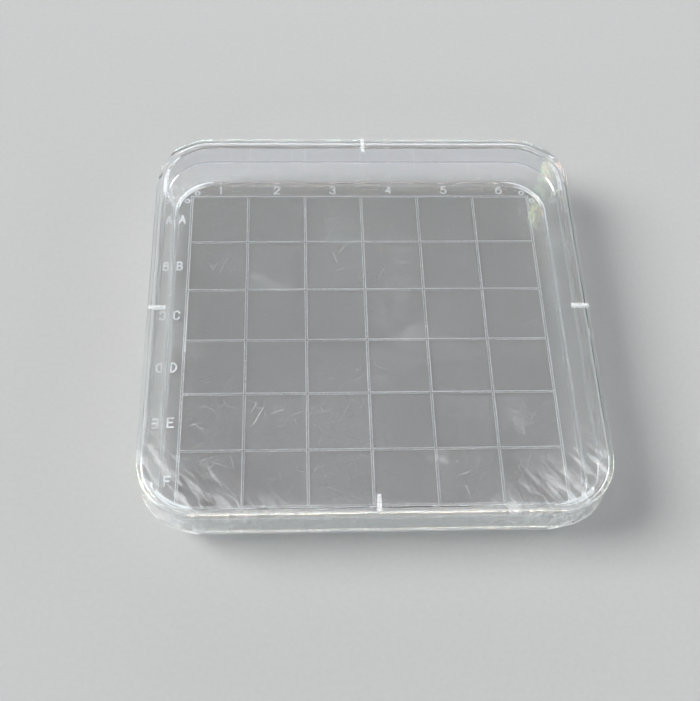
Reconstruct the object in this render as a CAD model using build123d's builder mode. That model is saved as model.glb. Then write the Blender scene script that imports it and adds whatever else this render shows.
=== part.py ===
from build123d import *
import math
import os

# Clear moulded square dish with a gridded floor and a lift-off lid, in millimetres.
# The origin is the middle of the underside. +Z is up, +X runs along the column
# numbers 1 to 6, and +Y points to the wall beside those numbers.

# Grid, characters and pips, in relief under the floor
CELLS = 6
PITCH = 14.5
RIDGE_WIDTH = 0.6
RELIEF = 0.25
LABEL_OFFSET = 2.2
LABEL_SIZE = (1.7, 2.7)
STROKE = 0.4
PIP_RADIUS = 0.75
PIP_PLACES = ((42.2, 44.75), (44.75, 42.2))

# Base dish
BASE_WIDTH = 96.8
BASE_CORNER = 10.8
BASE_HEIGHT = 14.55
BASE_DRAFT = 2.75
WALL = 1.05
FOOT_HEIGHT = 0.4
FOOT_WIDTH = 1.2
FLOOR_TOP = 1.6
FLOOR_FILLET = 1.2
BOTTOM_FILLET = 0.35
RIM_FILLET = 0.25

# Lid
LID_WIDTH = 101.6
LID_CORNER = 13.0
LID_BOTTOM = 7.2
LID_UNDERSIDE = 14.6
LID_TOP = 15.8
LID_DRAFT = 1.5
LID_WALL = 0.95
SHOULDER_FILLET = 0.5
INNER_FILLET = 0.4
HEM_FILLET = 0.2

# Ribs on the lid: each runs in from RIB_REACH, and is rooted RIB_ROOT deep in the plate
RIB_LENGTH = 4.0
RIB_WIDTH = 1.0
RIB_HEIGHT = 0.5
RIB_REACH = 50.4
RIB_ROOT = 1.0

# Pen strokes of each character on a field 4 wide and 6 high: two points make a
# straight stroke, three make an arc through them
GLYPH_FIELD = (4, 6)
GLYPHS = {
    "1": (((1.2, 4.9), (2.2, 6)), ((2.2, 6), (2.2, 0))),
    "2": (((0.2, 4.4), (2.2, 6), (3.4, 3.2)), ((3.4, 3.2), (0, 0)), ((0, 0), (4, 0))),
    "3": (((0.3, 5.1), (3.2, 5.5), (1.8, 3.2)), ((1.8, 3.2), (3.8, 1.2), (0, 0.9))),
    "4": (((3, 0), (3, 6)), ((3, 6), (0, 1.8)), ((0, 1.8), (4, 1.8))),
    "5": (((3.7, 6), (0.5, 6)), ((0.5, 6), (0.3, 3.4)), ((0.3, 3.4), (4, 2), (0, 0.8))),
    "6": (
        ((3.5, 5.6), (0.8, 4.4), (0, 2)),
        ((0, 2), (2, 3.9), (4, 2)),
        ((4, 2), (2, 0), (0, 2)),
    ),
    "A": (((0, 0), (2, 6)), ((2, 6), (4, 0)), ((0.7, 2.1), (3.3, 2.1))),
    "B": (
        ((0.2, 0), (0.2, 6)),
        ((0.2, 6), (2.2, 6)),
        ((2.2, 6), (3.6, 4.6), (2.2, 3.2)),
        ((2.2, 3.2), (0.2, 3.2)),
        ((2.2, 3.2), (3.9, 1.6), (2.2, 0)),
        ((2.2, 0), (0.2, 0)),
    ),
    "C": (((3.9, 4.6), (2, 6), (0, 4.2)), ((0, 4.2), (0, 1.8)), ((0, 1.8), (2, 0), (3.9, 1.4))),
    "D": (
        ((0.2, 0), (0.2, 6)),
        ((0.2, 6), (1.6, 6)),
        ((1.6, 6), (3.9, 3), (1.6, 0)),
        ((1.6, 0), (0.2, 0)),
    ),
    "E": (((3.9, 6), (0.2, 6)), ((0.2, 6), (0.2, 0)), ((0.2, 0), (3.9, 0)), ((0.2, 3.1), (3.2, 3.1))),
    "F": (((3.9, 6), (0.2, 6)), ((0.2, 6), (0.2, 0)), ((0.2, 3.1), (3.2, 3.1))),
}


def grid_offsets():
    """Distance of each grid line from the middle."""
    return [(line - CELLS / 2) * PITCH for line in range(CELLS + 1)]


def cell_centres():
    """Distance of each cell's middle from the middle of the dish."""
    return [(cell + 0.5 - CELLS / 2) * PITCH for cell in range(CELLS)]


def lean(height, draft):
    """How far a wall with this draft angle leans out over a height."""
    return height * math.tan(math.radians(draft))


def label_places():
    """Each character and its centre: numbers along the +Y side, letters down the -X side."""
    edge = CELLS / 2 * PITCH + LABEL_OFFSET
    numbers = [(character, (x, edge)) for character, x in zip("123456", cell_centres())]
    letters = [(character, (-edge, -y)) for character, y in zip("ABCDEF", cell_centres())]
    return numbers + letters


def pen_stroke(points, centre):
    """One pen stroke of a character placed at its centre, as an edge."""
    placed = [
        tuple(
            middle + (at - field / 2) * (size - STROKE) / field
            for at, field, size, middle in zip(point, GLYPH_FIELD, LABEL_SIZE, centre)
        )
        for point in points
    ]
    return Line(*placed) if len(placed) == 2 else ThreePointArc(*placed)


def label_strokes():
    """The pen strokes of all the characters."""
    return [
        pen_stroke(points, centre)
        for character, centre in label_places()
        for points in GLYPHS[character]
    ]


def pip_places():
    """Two pips beside each corner of the grid."""
    return [(sx * x, sy * y) for x, y in PIP_PLACES for sx in (-1, 1) for sy in (-1, 1)]


os.makedirs("parts", exist_ok=True)

# ---- Base dish ----
floor_lean = lean(FLOOR_TOP, BASE_DRAFT)
floor_width = BASE_WIDTH + 2 * (floor_lean - WALL)
floor_corner = BASE_CORNER + floor_lean - WALL
recess_width = BASE_WIDTH - 2 * FOOT_WIDTH
recess_corner = BASE_CORNER - FOOT_WIDTH
grid_span = CELLS * PITCH + RIDGE_WIDTH
strokes = label_strokes()

with BuildPart() as base_dish:
    # Drafted outside
    with BuildSketch(Plane.XY):
        RectangleRounded(BASE_WIDTH, BASE_WIDTH, BASE_CORNER)
    extrude(amount=BASE_HEIGHT, taper=-BASE_DRAFT)
    bottom_face = base_dish.faces().sort_by(Axis.Z)[0]
    fillet(bottom_face.edges(), BOTTOM_FILLET)

    # Drafted inside, rounded where the wall meets the floor and at the rim
    with BuildSketch(Plane.XY.offset(FLOOR_TOP)):
        RectangleRounded(floor_width, floor_width, floor_corner)
    extrude(amount=BASE_HEIGHT - FLOOR_TOP, taper=-BASE_DRAFT, mode=Mode.SUBTRACT)
    floor_face = base_dish.faces().filter_by(Plane.XY).group_by(Axis.Z)[1]
    fillet(floor_face.edges(), FLOOR_FILLET)
    rim_face = base_dish.faces().filter_by(Plane.XY).sort_by(Axis.Z)[-1]
    fillet(rim_face.edges(), RIM_FILLET)

    # Recess under the floor, which leaves a foot rim all round
    with BuildSketch(Plane.XY):
        RectangleRounded(recess_width, recess_width, recess_corner)
    extrude(amount=FOOT_HEIGHT, mode=Mode.SUBTRACT)

    # Grid ridges, characters and pips hang from the floor into the recess
    with BuildSketch(Plane.XY.offset(FOOT_HEIGHT - RELIEF)):
        with Locations([(x, 0) for x in grid_offsets()]):
            Rectangle(RIDGE_WIDTH, grid_span)
        with Locations([(0, y) for y in grid_offsets()]):
            Rectangle(grid_span, RIDGE_WIDTH)
        for stroke in strokes:
            SlotArc(stroke, STROKE)
        with Locations(pip_places()):
            Circle(PIP_RADIUS)
    extrude(amount=RELIEF)

base_dish.part.label = "base_dish"
export_step(base_dish.part, "parts/base_dish.step")

# ---- Lid ----
lid_depth = LID_TOP - LID_BOTTOM
hollow_depth = LID_UNDERSIDE - LID_BOTTOM
hollow_width = LID_WIDTH - 2 * LID_WALL
hollow_corner = LID_CORNER - LID_WALL

with BuildPart() as lid:
    # Drafted outside with a rounded shoulder
    with BuildSketch(Plane.XY.offset(LID_BOTTOM)):
        RectangleRounded(LID_WIDTH, LID_WIDTH, LID_CORNER)
    extrude(amount=lid_depth, taper=LID_DRAFT)
    top_face = lid.faces().sort_by(Axis.Z)[-1]
    fillet(top_face.edges(), SHOULDER_FILLET)

    # Drafted inside, rounded under the plate and along the hem
    with BuildSketch(Plane.XY.offset(LID_BOTTOM)):
        RectangleRounded(hollow_width, hollow_width, hollow_corner)
    extrude(amount=hollow_depth, taper=LID_DRAFT, mode=Mode.SUBTRACT)
    underside = lid.faces().filter_by(Plane.XY).group_by(Axis.Z)[1]
    fillet(underside.edges(), INNER_FILLET)
    hem_face = lid.faces().filter_by(Plane.XY).sort_by(Axis.Z)[0]
    fillet(hem_face.edges(), HEM_FILLET)

    # One rib on top at the middle of each side
    with BuildSketch(Plane.XY.offset(LID_TOP - RIB_ROOT)):
        with PolarLocations(RIB_REACH - RIB_LENGTH / 2, 4):
            Rectangle(RIB_LENGTH, RIB_WIDTH)
    extrude(amount=RIB_ROOT + RIB_HEIGHT)

lid.part.label = "lid"
export_step(lid.part, "parts/lid.step")
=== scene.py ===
"""Looks of the gridded square petri dish: its base and its lid as fine closed meshes in water-clear
polystyrene, on a pale floor under soft studio lights. Shapes are worked out in millimetres."""

import math

import bpy
from mathutils import Euler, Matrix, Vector
from mathutils.geometry import delaunay_2d_cdt


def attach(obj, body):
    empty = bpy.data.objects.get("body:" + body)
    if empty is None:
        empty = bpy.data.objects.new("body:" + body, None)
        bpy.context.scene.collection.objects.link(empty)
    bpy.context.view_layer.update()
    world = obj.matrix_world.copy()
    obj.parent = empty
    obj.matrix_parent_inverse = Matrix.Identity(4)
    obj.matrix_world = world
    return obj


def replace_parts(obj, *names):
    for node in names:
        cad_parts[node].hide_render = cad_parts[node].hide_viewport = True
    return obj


MM = 0.001
POLYSTYRENE_IOR = 1.59

# ---- Dimensions of the CAD part, in millimetres ----
CELLS = 6
PITCH = 14.5
RIDGE_WIDTH = 0.6
RELIEF = 0.25
LABEL_OFFSET = 2.2
LABEL_SIZE = (1.7, 2.7)
STROKE = 0.4
PIP_RADIUS = 0.75
PIP_EYE = 0.36
PIP_PLACES = ((42.2, 44.75), (44.75, 42.2))

BASE_HALF = 48.4
BASE_FLAT = 37.6
BASE_HEIGHT = 14.55
BASE_DRAFT = 2.75
WALL = 1.05
FOOT_HEIGHT = 0.4
FOOT_FILLET = 0.08
RECESS_HALF = 47.2
FLOOR_TOP = 1.6
FLOOR_FILLET = 1.2
BOTTOM_FILLET = 0.35
RIM_FILLET = 0.25

LID_HALF = 50.8
LID_FLAT = 37.8
LID_BOTTOM = 7.2
LID_UNDERSIDE = 14.6
LID_TOP = 15.8
LID_DRAFT = 1.5
LID_WALL = 0.95
SHOULDER_FILLET = 0.5
INNER_FILLET = 0.4
HEM_FILLET = 0.2

RIB_LENGTH = 4.0
RIB_WIDTH = 1.0
RIB_HEIGHT = 0.5
RIB_REACH = 50.4

# Gate marks, small round knobs left by moulding: place across the side, height up the wall
GATE_RADIUS = 0.42
GATE_HEIGHT = 0.16
BASE_GATE = (0.7, 4.6)
LID_GATE = (-0.9, 14.3)

# ---- Fineness of the meshes ----
CORNER_STEPS = 32
SIDE_COLUMNS = (12, 24)
FILLET_STEP = math.radians(10)
SUPPORT = 0.12
GATE_GRID = (-1, -0.92, -0.75, -0.5, -0.25, 0, 0.25, 0.5, 0.75, 0.92, 1)
PEN_CAP_STEPS = 10
PEN_ARC_STEP = math.radians(12)
PIP_STEPS = 36
SHARP_ANGLE = math.radians(32)
SQUARE_CORNERS = ((-1, -1), (1, -1), (1, 1), (-1, 1))

# Cross-section of everything in relief: distance out from its nominal edge, share of the full relief
RELIEF_SECTION = ((-0.14, 1.0), (0.04, 0.0))
# Cross-section of a rib's flanks: distance in from its edge, share of its height
RIB_SECTION = ((0.0, 0.0), (0.03, 0.6), (0.09, 0.87), (0.16, 0.96), (0.25, 1.0))

# Pen strokes of each character on a field 4 wide and 6 high: two points make a straight stroke,
# three make an arc through them
GLYPH_FIELD = (4, 6)
GLYPHS = {
    "1": (((1.2, 4.9), (2.2, 6)), ((2.2, 6), (2.2, 0))),
    "2": (((0.2, 4.4), (2.2, 6), (3.4, 3.2)), ((3.4, 3.2), (0, 0)), ((0, 0), (4, 0))),
    "3": (((0.3, 5.1), (3.2, 5.5), (1.8, 3.2)), ((1.8, 3.2), (3.8, 1.2), (0, 0.9))),
    "4": (((3, 0), (3, 6)), ((3, 6), (0, 1.8)), ((0, 1.8), (4, 1.8))),
    "5": (((3.7, 6), (0.5, 6)), ((0.5, 6), (0.3, 3.4)), ((0.3, 3.4), (4, 2), (0, 0.8))),
    "6": (
        ((3.5, 5.6), (0.8, 4.4), (0, 2)),
        ((0, 2), (2, 3.9), (4, 2)),
        ((4, 2), (2, 0), (0, 2)),
    ),
    "A": (((0, 0), (2, 6)), ((2, 6), (4, 0)), ((0.7, 2.1), (3.3, 2.1))),
    "B": (
        ((0.2, 0), (0.2, 6)),
        ((0.2, 6), (2.2, 6)),
        ((2.2, 6), (3.6, 4.6), (2.2, 3.2)),
        ((2.2, 3.2), (0.2, 3.2)),
        ((2.2, 3.2), (3.9, 1.6), (2.2, 0)),
        ((2.2, 0), (0.2, 0)),
    ),
    "C": (((3.9, 4.6), (2, 6), (0, 4.2)), ((0, 4.2), (0, 1.8)), ((0, 1.8), (2, 0), (3.9, 1.4))),
    "D": (
        ((0.2, 0), (0.2, 6)),
        ((0.2, 6), (1.6, 6)),
        ((1.6, 6), (3.9, 3), (1.6, 0)),
        ((1.6, 0), (0.2, 0)),
    ),
    "E": (((3.9, 6), (0.2, 6)), ((0.2, 6), (0.2, 0)), ((0.2, 0), (3.9, 0)), ((0.2, 3.1), (3.2, 3.1))),
    "F": (((3.9, 6), (0.2, 6)), ((0.2, 6), (0.2, 0)), ((0.2, 3.1), (3.2, 3.1))),
}


# ---- Sections ----
def lean(height, draft):
    """How far a wall with this draft leans over a height."""
    return height * math.tan(math.radians(draft))


def rounded_corner(before, corner, after, radius):
    """An arc in place of a section's corner, with a support point on the straight stretch at each end."""
    before, corner, after = Vector(before), Vector(corner), Vector(after)
    back = (before - corner).normalized()
    ahead = (after - corner).normalized()
    opening = back.angle(ahead)
    reach = radius / math.tan(opening / 2)
    centre = corner + (back + ahead).normalized() * (radius / math.sin(opening / 2))
    start = corner + back * reach - centre
    turn = math.pi - opening
    if start.x * ahead.y - start.y * ahead.x < 0:
        turn = -turn
    steps = max(3, round(abs(turn) / FILLET_STEP))
    points = [corner + back * (reach + SUPPORT)]
    for step in range(steps + 1):
        angle = turn * step / steps
        cos, sin = math.cos(angle), math.sin(angle)
        points.append(centre + Vector((start.x * cos - start.y * sin, start.x * sin + start.y * cos)))
    points.append(corner + ahead * (reach + SUPPORT))
    return points


def rounded_section(corners):
    """A section through (half width, height, radius) corners. A corner of radius 0 stays sharp."""
    points = []
    for index, (half, height, radius) in enumerate(corners):
        if radius:
            points += rounded_corner(corners[index - 1][:2], (half, height), corners[index + 1][:2], radius)
        else:
            points.append(Vector((half, height)))
    return points


def base_section():
    """From the recess, round the foot, up the outside, over the rim and down to the floor."""
    rim_out = BASE_HALF + lean(BASE_HEIGHT, BASE_DRAFT)
    floor_half = BASE_HALF + lean(FLOOR_TOP, BASE_DRAFT) - WALL
    return rounded_section(
        (
            (RECESS_HALF, FOOT_HEIGHT, 0),
            (RECESS_HALF, 0, FOOT_FILLET),
            (BASE_HALF, 0, BOTTOM_FILLET),
            (rim_out, BASE_HEIGHT, RIM_FILLET),
            (rim_out - WALL, BASE_HEIGHT, RIM_FILLET),
            (floor_half, FLOOR_TOP, FLOOR_FILLET),
            (floor_half - FLOOR_FILLET - 1, FLOOR_TOP, 0),
        )
    )


def lid_section():
    """From the underside of the plate, down the inside, round the hem and over the shoulder."""
    plate_half = LID_HALF - LID_WALL - lean(LID_UNDERSIDE - LID_BOTTOM, LID_DRAFT)
    top_half = LID_HALF - lean(LID_TOP - LID_BOTTOM, LID_DRAFT)
    section = rounded_section(
        (
            (plate_half - INNER_FILLET - 1, LID_UNDERSIDE, 0),
            (plate_half, LID_UNDERSIDE, INNER_FILLET),
            (LID_HALF - LID_WALL, LID_BOTTOM, HEM_FILLET),
            (LID_HALF, LID_BOTTOM, HEM_FILLET),
            (top_half, LID_TOP, SHOULDER_FILLET),
            (RIB_REACH - RIB_LENGTH - 0.5, LID_TOP, 0),
        )
    )
    return with_rib_rings(section)


def with_rib_rings(section):
    """The section with extra points on top, where the flanks of the ribs start and end."""
    ends = (RIB_REACH, RIB_REACH - RIB_LENGTH)
    cuts = [ends[0] - inset for inset, _ in RIB_SECTION]
    cuts += [ends[1] + inset for inset, _ in reversed(RIB_SECTION)]
    points = section[:1]
    for point in section[1:]:
        last = points[-1]
        if point.y > LID_TOP - SHOULDER_FILLET and point.x < last.x:
            for cut in cuts:
                if point.x < cut < last.x and min(cut - point.x, last.x - cut) > 0.004:
                    points.append(last.lerp(point, (last.x - cut) / (last.x - point.x)))
        points.append(point)
    return points


def with_gate_rings(section, gate, outside):
    """The section with extra points up the outside wall, across the gate mark."""
    heights = [gate[1] + share * GATE_RADIUS for share in GATE_GRID]
    points = section[:1]
    for point in section[1:]:
        last = points[-1]
        if point.x > outside and last.x > outside and point.y > last.y:
            for height in heights:
                if last.y < height < point.y:
                    points.append(last.lerp(point, (height - last.y) / (point.y - last.y)))
                    last = points[-1]
        points.append(point)
    return points


def gate_columns(gate):
    """Places along a side across the gate mark."""
    return [gate[0] + share * GATE_RADIUS for share in GATE_GRID]


def raised_by_gate(point, gate, side, outside):
    """A point of the outside wall, moved out where the gate mark is. side is 1 for +Y and -1 for -Y."""
    if point.y * side < outside:
        return point
    off = math.hypot(point.x - gate[0], point.z - gate[1]) / GATE_RADIUS
    bulge = GATE_HEIGHT * math.sqrt(max(0.0, 1 - off**2))
    return Vector((point.x, point.y + side * bulge, point.z))


# ---- Rings and meshes ----
def side_columns(columns):
    """Places along a straight side, the same on every ring."""
    return sorted({-c for c in columns} | set(columns))


def ring(half, height, flat, columns):
    """A rounded square, anticlockwise from the +X side. Its sides are straight for 2 * flat."""
    radius = half - flat
    quarter = [(half, along) for along in side_columns(columns)]
    for step in range(CORNER_STEPS + 1):
        angle = math.pi / 2 * step / CORNER_STEPS
        quarter.append((flat + radius * math.cos(angle), flat + radius * math.sin(angle)))
    return [
        Vector((x * cos - y * sin, x * sin + y * cos, height))
        for cos, sin in ((1, 0), (0, 1), (-1, 0), (0, -1))
        for x, y in quarter
    ]


def swept(section, flat, columns):
    """Points and faces of a rounded square swept along a section, open at both ends."""
    rings = [ring(half, height, flat, columns) for half, height in section]
    points = [point for one in rings for point in one]
    count = len(rings[0])
    faces = []
    for low in range(0, len(points) - count, count):
        for at in range(count):
            after = (at + 1) % count
            faces.append((low + at, low + after, low + count + after, low + count + at))
    return points, faces, count


def add_object(name, points, faces, body, materials, face_material=None):
    """A smooth-shaded mesh object in metres that stands for a CAD node."""
    mesh = bpy.data.meshes.new(name)
    mesh.from_pydata([point * MM for point in points], [], faces)
    mesh.validate()
    for material in materials:
        mesh.materials.append(material)
    if face_material:
        for polygon in mesh.polygons:
            polygon.material_index = face_material(polygon)
    mesh.shade_smooth()
    mesh.set_sharp_from_angle(angle=SHARP_ANGLE)
    made = bpy.data.objects.new(name, mesh)
    bpy.context.scene.collection.objects.link(made)
    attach(made, body)
    return made


# ---- Relief under the floor ----
def grid_offsets():
    """Distance of each grid line from the middle."""
    return [(line - CELLS / 2) * PITCH for line in range(CELLS + 1)]


def cell_centres():
    """Distance of each cell's middle from the middle of the dish."""
    return [(cell + 0.5 - CELLS / 2) * PITCH for cell in range(CELLS)]


def label_places():
    """Each character and its centre: numbers along the +Y side, letters down the -X side."""
    edge = CELLS / 2 * PITCH + LABEL_OFFSET
    numbers = [(character, (x, edge)) for character, x in zip("123456", cell_centres())]
    letters = [(character, (-edge, -y)) for character, y in zip("ABCDEF", cell_centres())]
    return numbers + letters


def circle_through(a, b, c):
    """Centre of the circle through three points."""
    ab, ac = b - a, c - a
    cross = 2 * (ab.x * ac.y - ab.y * ac.x)
    return a + Vector(
        (
            (ac.y * ab.length_squared - ab.y * ac.length_squared) / cross,
            (ab.x * ac.length_squared - ac.x * ab.length_squared) / cross,
        )
    )


def arc_points(a, b, c):
    """Points along the arc from a through b to c."""
    centre = circle_through(a, b, c)
    spoke = a - centre
    start = math.atan2(spoke.y, spoke.x)
    swing = [(math.atan2((p - centre).y, (p - centre).x) - start) % math.tau for p in (b, c)]
    sweep = swing[1] if swing[0] < swing[1] else swing[1] - math.tau
    steps = max(3, math.ceil(abs(sweep) / PEN_ARC_STEP))
    angles = [start + sweep * step / steps for step in range(steps + 1)]
    return [centre + spoke.length * Vector((math.cos(t), math.sin(t))) for t in angles]


def pen_path(points, centre):
    """The middle line of one pen stroke of a character placed at its centre."""
    placed = [
        Vector(
            middle + (at - field / 2) * (size - STROKE) / field
            for at, field, size, middle in zip(point, GLYPH_FIELD, LABEL_SIZE, centre)
        )
        for point in points
    ]
    return placed if len(placed) == 2 else arc_points(*placed)


def pen_paths():
    """The middle lines of the pen strokes of all the characters."""
    return [
        pen_path(points, centre)
        for character, centre in label_places()
        for points in GLYPHS[character]
    ]


def pip_places():
    """Two pips beside each corner of the grid."""
    return [Vector((sx * x, sy * y)) for x, y in PIP_PLACES for sx in (-1, 1) for sy in (-1, 1)]


def around_path(path, reach):
    """The outline at a distance round a path, with round ends."""
    outline = []
    there_and_back = path + path[-2:0:-1]
    count = len(there_and_back)
    for index, point in enumerate(there_and_back):
        arrive = (point - there_and_back[index - 1]).normalized()
        leave = (there_and_back[(index + 1) % count] - point).normalized()
        first = math.atan2(-arrive.x, arrive.y)
        if index in (0, len(path) - 1):
            angles = [first + math.pi * step / PEN_CAP_STEPS for step in range(PEN_CAP_STEPS + 1)]
        else:
            mid = (arrive + leave).normalized()
            angles = [math.atan2(-mid.x, mid.y)]
        outline += [point + reach * Vector((math.cos(t), math.sin(t))) for t in angles]
    return outline


def square(centre, half):
    """Corners of a square."""
    return [Vector((centre[0] + sx * half, centre[1] + sy * half)) for sx, sy in SQUARE_CORNERS]


def circle(centre, radius):
    """Points of a circle."""
    turns = (math.tau * step / PIP_STEPS for step in range(PIP_STEPS))
    return [centre + radius * Vector((math.cos(t), math.sin(t))) for t in turns]


def relief_outlines(out):
    """Outlines of everything in relief, moved out from its nominal edge."""
    span = CELLS * PITCH / 2
    ridge = RIDGE_WIDTH / 2
    outlines = [square((0, 0), span + ridge + out)]
    outlines += [square((x, y), PITCH / 2 - ridge - out) for x in cell_centres() for y in cell_centres()]
    outlines += [around_path(path, STROKE / 2 + out) for path in pen_paths()]
    outlines += [circle(place, PIP_RADIUS + out) for place in pip_places()]
    outlines += [circle(place, PIP_EYE) for place in pip_places()]
    return outlines


def distance_to_segment(point, a, b):
    """Distance from a point to a straight stretch."""
    along = b - a
    share = max(0, min(1, (point - a).dot(along) / along.length_squared))
    return (point - a - along * share).length


def distance_out(point, paths, pips):
    """How far a point lies outside the nearest nominal edge. It is negative inside."""
    span = CELLS * PITCH / 2
    reach = max(abs(point.x), abs(point.y))
    if reach <= span + 0.5:
        return min(min(abs(at - line) for line in grid_offsets()) for at in point) - RIDGE_WIDTH / 2
    strokes = min(distance_to_segment(point, a, b) for path in paths for a, b in zip(path, path[1:]))
    rounds = min((point - place).length for place in pips)
    return min(strokes - STROKE / 2, rounds - PIP_RADIUS)


def relief_share(out):
    """Share of the full relief at a distance out from the nominal edge."""
    (crest, _), (foot, _) = RELIEF_SECTION
    return max(0, min(1, (foot - out) / (foot - crest)))


def relief_surface(border):
    """Points and faces of the recessed underside within a border of points, with everything in relief."""
    points = [point.xy for point in border]
    edges = [(at, (at + 1) % len(points)) for at in range(len(points))]
    for out, _ in RELIEF_SECTION:
        for outline in relief_outlines(out):
            first = len(points)
            points += outline
            count = len(outline)
            edges += [(first + at, first + (at + 1) % count) for at in range(count)]
    flat_points, _, flat_faces, origins, _, _ = delaunay_2d_cdt(points, edges, [], 1, 2e-3)
    paths, pips = pen_paths(), pip_places()
    placed = []
    for point in flat_points:
        share = relief_share(distance_out(point, paths, pips))
        placed.append(Vector((point.x, point.y, FOOT_HEIGHT - RELIEF * share)))
    return placed, flat_faces, origins


# ---- The two mouldings ----
def make_base(materials):
    """The base dish: swept walls, a flat floor and the relief under it."""
    outside = BASE_HALF - 0.1
    section = with_gate_rings(base_section(), BASE_GATE, outside)
    points, faces, count = swept(section, BASE_FLAT, (0, *SIDE_COLUMNS, *gate_columns(BASE_GATE)))
    points = [raised_by_gate(point, BASE_GATE, 1, outside) for point in points]
    pips = pip_places()
    faces.append(tuple(range(len(points) - count, len(points))))
    under, under_faces, origins = relief_surface(points[:count])
    place = {}
    for at, made_from in enumerate(origins):
        on_border = [source for source in made_from if source < count]
        if on_border:
            place[at] = on_border[0]
        else:
            place[at] = len(points)
            points.append(under[at])
    faces += [tuple(place[at] for at in reversed(face)) for face in under_faces]

    def face_material(polygon):
        place = polygon.center / MM
        reach = max(abs(place.x), abs(place.y))
        if place.z > FOOT_HEIGHT - 0.01 or reach > RECESS_HALF - 0.01:
            return 0
        if min((place.xy - pip).length for pip in pips) < PIP_EYE:
            return 0
        on_crest = place.z < FOOT_HEIGHT - RELIEF + 0.01
        return 2 if on_crest and reach < CELLS * PITCH / 2 + RIDGE_WIDTH else 1

    return add_object("dish_moulding", points, faces, "dish", materials, face_material)


def rib_share(across, out):
    """Share of the rib's height at a place across it and a place out from the middle of the lid."""
    inset = min(RIB_WIDTH / 2 - abs(across), RIB_REACH - out, out - RIB_REACH + RIB_LENGTH)
    if inset <= 0:
        return 0
    for (near, low), (far, high) in zip(RIB_SECTION, RIB_SECTION[1:]):
        if inset <= far:
            return low + (high - low) * (inset - near) / (far - near)
    return 1


def raised_by_ribs(point):
    """A point on top of the lid, lifted where it lies on a rib."""
    if point.z < LID_TOP - SHOULDER_FILLET:
        return point
    out, across = max(abs(point.x), abs(point.y)), min(abs(point.x), abs(point.y))
    share = rib_share(across, out)
    return Vector((point.x, point.y, point.z + (LID_TOP + RIB_HEIGHT - point.z) * share))


def make_lid(materials):
    """The lid: a swept section, closed above and below, with four ribs on top."""
    flanks = [RIB_WIDTH / 2 - inset for inset, _ in RIB_SECTION]
    outside = LID_HALF - LID_WALL / 2
    section = with_gate_rings(lid_section(), LID_GATE, outside)
    points, faces, count = swept(section, LID_FLAT, (*flanks, *SIDE_COLUMNS, *gate_columns(LID_GATE)))
    faces.append(tuple(reversed(range(count))))
    faces.append(tuple(range(len(points) - count, len(points))))
    points = [raised_by_gate(raised_by_ribs(point), LID_GATE, -1, outside) for point in points]

    def face_material(polygon):
        place = polygon.center / MM
        out, across = max(abs(place.x), abs(place.y)), min(abs(place.x), abs(place.y))
        return 1 if place.z > LID_TOP - SHOULDER_FILLET and rib_share(across, out) > 0 else 0

    return add_object("lid_moulding", points, faces, "cover", materials, face_material)


# ---- Materials ----
class Graph:
    """A short way to add nodes to a material and join them."""

    def __init__(self, name):
        self.material = bpy.data.materials.new(name)
        self.material.use_nodes = True
        self.tree = self.material.node_tree
        self.shader = self.tree.nodes["Principled BSDF"]

    def add(self, kind, settings=None, **inputs):
        """A node of a kind, with its settings, and its inputs given as values or as sockets to join."""
        node = self.tree.nodes.new("ShaderNode" + kind)
        for name, value in (settings or {}).items():
            setattr(node, name, value)
        for name, value in inputs.items():
            self.give(node, name.replace("_", " "), value)
        return node

    def give(self, node, name, value):
        """Sets an input, or joins it to a socket."""
        if isinstance(value, bpy.types.NodeSocket):
            self.tree.links.new(value, node.inputs[name])
        else:
            node.inputs[name].default_value = value

    def calculate(self, operation, a, b):
        """A Math node's result."""
        node = self.add("Math", {"operation": operation})
        for index, value in enumerate((a, b)):
            self.give(node, index, value)
        return node.outputs[0]

    def ramp(self, value, low, high, bottom=0.0, top=1.0):
        """A value between low and high, stretched smoothly to bottom and top."""
        node = self.add(
            "MapRange",
            {"interpolation_type": "SMOOTHSTEP"},
            Value=value,
            From_Min=low,
            From_Max=high,
            To_Min=bottom,
            To_Max=top,
        )
        return node.outputs[0]

    def noise(self, scale, turn=0.0, place=(0, 0, 0), detail=2.0, roughness=0.5):
        """Noise with its own scale along each axis, in features a metre, turned about Z."""
        coords = self.add("TexCoord").outputs["Object"]
        turned = self.add("Mapping", Vector=coords, Rotation=(0, 0, turn))
        placed = self.add("Mapping", Vector=turned.outputs[0], Scale=scale, Location=place)
        node = self.add("TexNoise", Vector=placed.outputs[0], Scale=1.0, Detail=detail, Roughness=roughness)
        return node.outputs[0]


def scratches(graph, seed):
    """Fine straight scratches in several directions, gathered in patches."""
    marks = None
    for index, turn in enumerate((0.35, 1.25, 2.05, 2.8)):
        place = (seed + 3.7 * index, 1.9 * seed, 5.3 * index)
        streaks = graph.noise((140, 4200, 400), turn, place, detail=1)
        lines = graph.ramp(streaks, 0.68, 0.77)
        marks = lines if marks is None else graph.calculate("MAXIMUM", marks, lines)
    patches = graph.ramp(graph.noise((38, 38, 38), place=(seed, 4, 9), detail=3), 0.46, 0.66)
    return graph.calculate("MULTIPLY", marks, patches)


def specks(graph, seed):
    """Sparse dust specks and tiny pits."""
    grains = graph.noise((1500, 1500, 1500), place=(seed, 7, 2), detail=0)
    return graph.ramp(grains, 0.86, 0.89)


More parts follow.
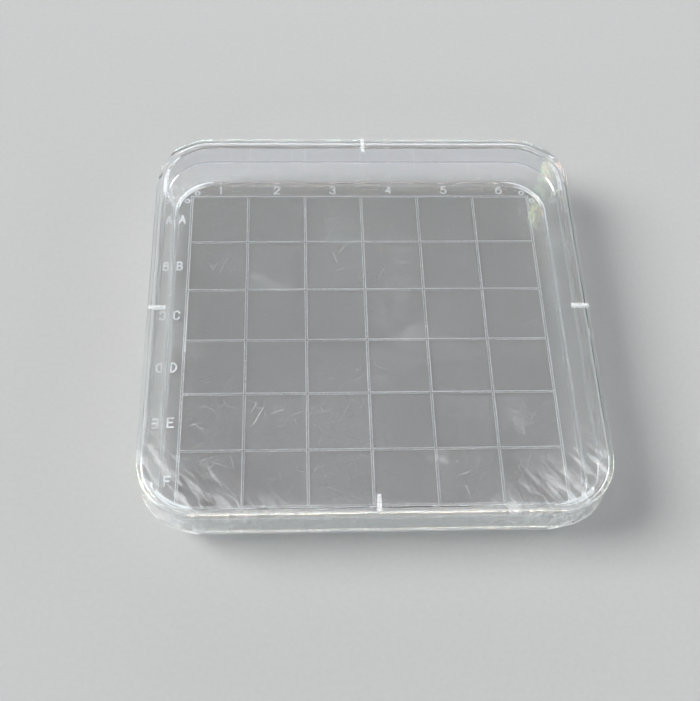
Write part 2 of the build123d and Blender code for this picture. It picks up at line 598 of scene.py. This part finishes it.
def scuffs(graph, seed):
    """Cloudy rubbed patches all over, and denser wisps near the two corners on the -Y side."""
    clouds = graph.noise((70, 120, 90), 0.5, (seed, 2, 6), detail=5, roughness=0.65)
    wisps = graph.noise((150, 700, 400), 0.9, (seed, 8, 3), detail=4, roughness=0.6)
    coords = graph.add("TexCoord").outputs["Object"]
    shifted = graph.add("Mapping", Vector=coords, Location=(0, -0.015, 0))
    out = graph.add("VectorMath", {"operation": "LENGTH"}, Vector=shifted.outputs[0]).outputs["Value"]
    near_corner = graph.ramp(out, 0.062, 0.076)
    worn = graph.calculate("MULTIPLY", graph.ramp(wisps, 0.46, 0.68), near_corner)
    rubbed = graph.ramp(clouds, 0.55, 0.78, 0, 0.4)
    return graph.calculate("MAXIMUM", worn, rubbed)


def clear_plastic(name, seed, polish, haze):
    """Water-clear polystyrene with flow streaks, fine scratches, scuffs and specks."""
    graph = Graph(name)
    shader = graph.shader
    marks = scratches(graph, seed)
    clouds = scuffs(graph, seed)
    graph.give(shader, "Roughness", graph.ramp(clouds, 0, 1, polish, polish + 0.08))
    worn = graph.calculate("MULTIPLY", graph.calculate("MAXIMUM", marks, specks(graph, seed)), -0.22)
    hazy = graph.calculate("MULTIPLY", clouds, -haze)
    clearness = graph.calculate("ADD", graph.calculate("ADD", worn, hazy), 1.0)
    graph.give(shader, "Transmission Weight", clearness)
    flow = graph.noise((45, 45, 12), place=(seed, 1, 3), detail=3)
    ripple = graph.add("Bump", Strength=0.2, Distance=0.00006, Height=flow)
    grooves = graph.add("Bump", Strength=0.15, Distance=0.000002, Height=marks, Normal=ripple.outputs[0])
    graph.give(shader, "Normal", grooves.outputs[0])
    shader.inputs["Base Color"].default_value = (0.985, 0.99, 0.988, 1)
    shader.inputs["IOR"].default_value = POLYSTYRENE_IOR
    shader.inputs["Thin Film Thickness"].default_value = 420
    shader.inputs["Thin Film IOR"].default_value = 1.46
    return graph.material


def frost_and_painted_glow_plastic(name, seed, least_clear, most_clear):
    """The whitish surface of what stands in relief: partly a frosted finish where the mould is less
    polished, partly painted highlight, white standing for light glowing along the raised edges.
    """
    graph = Graph(name)
    shader = graph.shader
    grain = graph.noise((5000, 5000, 5000), place=(seed, 5, 8), detail=3)
    graph.give(shader, "Transmission Weight", graph.ramp(grain, 0.3, 0.7, least_clear, most_clear))
    graph.give(shader, "Roughness", graph.ramp(grain, 0.3, 0.7, 0.3, 0.15))
    shader.inputs["Base Color"].default_value = (0.97, 0.98, 0.98, 1)
    shader.inputs["IOR"].default_value = POLYSTYRENE_IOR
    return graph.material


def floor_material():
    """Pale matte studio paper."""
    graph = Graph("paper")
    fibres = graph.noise((900, 900, 900), detail=4)
    tone = graph.add("MixRGB", Fac=fibres, Color1=(0.41, 0.41, 0.405, 1), Color2=(0.45, 0.45, 0.445, 1))
    graph.give(graph.shader, "Base Color", tone.outputs[0])
    graph.shader.inputs["Roughness"].default_value = 0.8
    return graph.material


# ---- Stage, lights and camera ----
def make_floor():
    """A pale floor a hair below the foot rim."""
    half, drop = 8.0, 0.00004
    mesh = bpy.data.meshes.new("floor")
    corners = [(sx * half, sy * half, -drop) for sx, sy in SQUARE_CORNERS]
    mesh.from_pydata(corners, [], [(0, 1, 2, 3)])
    mesh.materials.append(floor_material())
    floor = bpy.data.objects.new("floor", mesh)
    bpy.context.scene.collection.objects.link(floor)


def add_light(name, kind, place, power):
    """A light that faces the dish."""
    data = bpy.data.lights.new(name, kind)
    data.energy = power
    light = bpy.data.objects.new(name, data)
    light.location = place
    light.rotation_euler = (-Vector(place)).to_track_quat("-Z", "Y").to_euler()
    bpy.context.scene.collection.objects.link(light)
    return light


def make_lights():
    """A soft key light, and bright strips that edge the plastic and don't light the matte floor."""
    key = add_light("key", "SUN", (-0.75, 0.1, 0.65), 3.4)
    key.data.angle = 0.6
    strips = (("back", 0, 1, 10), ("left", -1, 0, 16), ("right", 1, 0, 16), ("front", 0, -1, 13))
    away, height = 0.85, 0.43
    for name, x, y, power in strips:
        strip = add_light(name + "_strip", "AREA", (away * x, away * y, height), power)
        strip.data.shape = "RECTANGLE"
        strip.data.size, strip.data.size_y = 0.7, 0.12
        strip.visible_diffuse = False


def make_surrounding():
    """An even sky, brighter towards the horizon, and plain colours in the picture."""
    world = bpy.data.worlds.new("surrounding")
    world.use_nodes = True
    tree = world.node_tree
    direction = tree.nodes.new("ShaderNodeTexCoord")
    split = tree.nodes.new("ShaderNodeSeparateXYZ")
    rise = tree.nodes.new("ShaderNodeMapRange")
    rise.interpolation_type = "SMOOTHSTEP"
    for name, value in {"From Min": 0.05, "From Max": 0.6, "To Min": 0.95, "To Max": 0.42}.items():
        rise.inputs[name].default_value = value
    background = tree.nodes["Background"]
    background.inputs["Color"].default_value = (0.93, 0.96, 1, 1)
    tree.links.new(direction.outputs["Generated"], split.inputs[0])
    tree.links.new(split.outputs["Z"], rise.inputs["Value"])
    tree.links.new(rise.outputs[0], background.inputs["Strength"])
    bpy.context.scene.world = world
    bpy.context.scene.view_settings.view_transform = "Standard"


def follow_light_deep():
    """Lets light bounce often enough to find its way out of the clear walls."""
    cycles = bpy.context.scene.cycles
    cycles.max_bounces = 32
    cycles.glossy_bounces = 24
    cycles.transmission_bounces = 32


def make_camera():
    """The camera at the angle from which the dish is looked at: high in front, slightly to the left."""
    data = bpy.data.cameras.new("camera")
    data.lens = 56.39
    data.sensor_width = 36
    data.clip_start = 0.01
    camera = bpy.data.objects.new("camera", data)
    camera.location = (-0.016264, -0.13717, 0.225451)
    camera.rotation_euler = Euler([math.radians(a) for a in (30.962, -2.051, -1.730)])
    bpy.context.scene.collection.objects.link(camera)
    bpy.context.scene.camera = camera


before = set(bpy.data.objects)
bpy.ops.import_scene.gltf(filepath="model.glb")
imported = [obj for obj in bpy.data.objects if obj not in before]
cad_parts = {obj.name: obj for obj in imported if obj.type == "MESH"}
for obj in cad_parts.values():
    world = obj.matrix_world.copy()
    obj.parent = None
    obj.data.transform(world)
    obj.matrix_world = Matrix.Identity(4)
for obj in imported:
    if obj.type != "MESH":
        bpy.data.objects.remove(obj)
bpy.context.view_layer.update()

base_plastic = clear_plastic("base_polystyrene", 1, 0.015, 0.12)
# Relief flanks nearly opaque white and crests half clear: frosting plus painted highlight for light glowing
# along the grid lines and characters
flank_frost_and_painted_glow = frost_and_painted_glow_plastic("relief_flank_painted_glow_polystyrene", 2, 0.0, 0.05)
crest_frost_and_painted_glow = frost_and_painted_glow_plastic("relief_crest_frosted_painted_glow_polystyrene", 4, 0.65, 0.85)
# Ribs half white: frosting plus painted highlight for light catching the ribs
rib_frost_and_painted_glow = frost_and_painted_glow_plastic("rib_frosted_painted_glow_polystyrene", 5, 0.3, 0.6)
lid_plastic = clear_plastic("lid_polystyrene", 3, 0.015, 0.26)
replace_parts(make_base([base_plastic, flank_frost_and_painted_glow, crest_frost_and_painted_glow]), "base_dish")
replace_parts(make_lid([lid_plastic, rib_frost_and_painted_glow]), "lid")
make_floor()
make_lights()
make_surrounding()
follow_light_deep()
make_camera()

bpy.context.view_layer.update()
